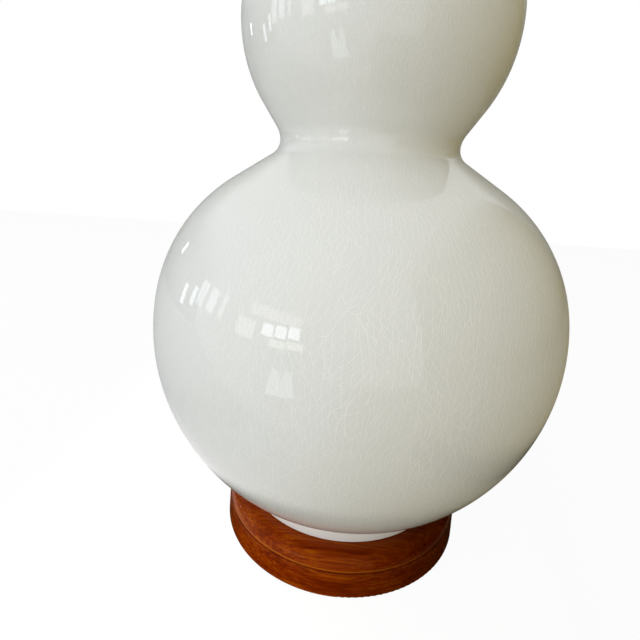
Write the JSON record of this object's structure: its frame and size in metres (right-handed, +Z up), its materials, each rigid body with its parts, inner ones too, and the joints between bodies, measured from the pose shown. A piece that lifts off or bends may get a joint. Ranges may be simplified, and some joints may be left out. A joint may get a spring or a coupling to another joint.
{
  "type": "table lamp",
  "caption": "Double gourd table lamp: a crackle-glazed ceramic body on a turned wooden base, with a brass socket, harp and finial.",
  "frame": {"origin": "centre of the felt's underside, on the surface the lamp stands on", "axes": "+Z up along the lamp's pipe; the front, with the switch, faces -Y; the cord leaves the base towards +Y; the harp lies in the XZ plane"},
  "size_m": [0.2799, 0.28, 0.7407],
  "materials": {
    "glaze": "glossy ivory crackle glaze",
    "wood": "glossy red-brown lacquer over turned hardwood",
    "felt": "pressed felt",
    "bushing": "moulded",
    "steel": "zinc plated",
    "gasket": "moulded",
    "brass": "polished and lacquered",
    "contact_brass": "bright, pressed",
    "fibre": "fibre board",
    "phenolic": "moulded phenolic",
    "knob": "moulded, glossy"
  },
  "bodies": {
    "lamp": {"wood_base": "wood", "base_felt": "felt", "cord_bushing": "bushing", "bottom_washer": "steel", "lock_washer": "steel", "bottom_nut": "steel", "ceramic_body": "glaze", "lamp_pipe": "steel", "cap_gasket": "gasket", "vase_cap": "brass", "neck_spacer": "brass", "check_ring": "brass", "harp_saddle": "brass", "socket_cap": "brass", "cap_set_screw": "steel", "socket_insulator": "fibre", "socket_shell": "brass", "socket_liner": "fibre", "socket_core": "phenolic", "screw_shell": "contact_brass", "terminal_screws": "contact_brass"},
    "harp": {"harp": "brass"},
    "stud": {"harp_stud": "brass"},
    "finial": {"finial": "brass"},
    "ferrule_right": {"harp_ferrule_right": "brass"},
    "ferrule_left": {"harp_ferrule_left": "brass"},
    "switch_key": {"switch_shaft": "steel", "switch_knob": "knob"},
    "centre_contact": {"centre_contact": "contact_brass"}
  },
  "joints": [
    {"name": "harp_lift", "type": "slide", "parent": "lamp", "child": "harp", "axis": [0, 0, 1], "range_m": [0, 0.06]},
    {"name": "ferrule_right_slide", "type": "slide", "parent": "harp", "child": "ferrule_right", "axis": [0, 0, 1], "range_m": [0, 0.018]},
    {"name": "ferrule_left_slide", "type": "slide", "parent": "harp", "child": "ferrule_left", "axis": [0, 0, 1], "range_m": [0, 0.018]},
    {"name": "stud_swivel", "type": "hinge", "parent": "harp", "child": "stud", "pos_m": [0, 0, 0.70861], "axis": [0, 0, 1], "continuous": true},
    {"name": "finial_lift", "type": "slide", "parent": "stud", "child": "finial", "axis": [0, 0, 1], "range_m": [0, 0.06]},
    {"name": "switch_turn", "type": "hinge", "parent": "lamp", "child": "switch_key", "pos_m": [0, -0.0194, 0.50401], "axis": [0, -1, 0], "continuous": true},
    {"name": "contact_press", "type": "slide", "parent": "lamp", "child": "centre_contact", "axis": [0, 0, -1], "range_m": [0, 0.0015], "stiffness_N_per_m": 1500}
  ]
}
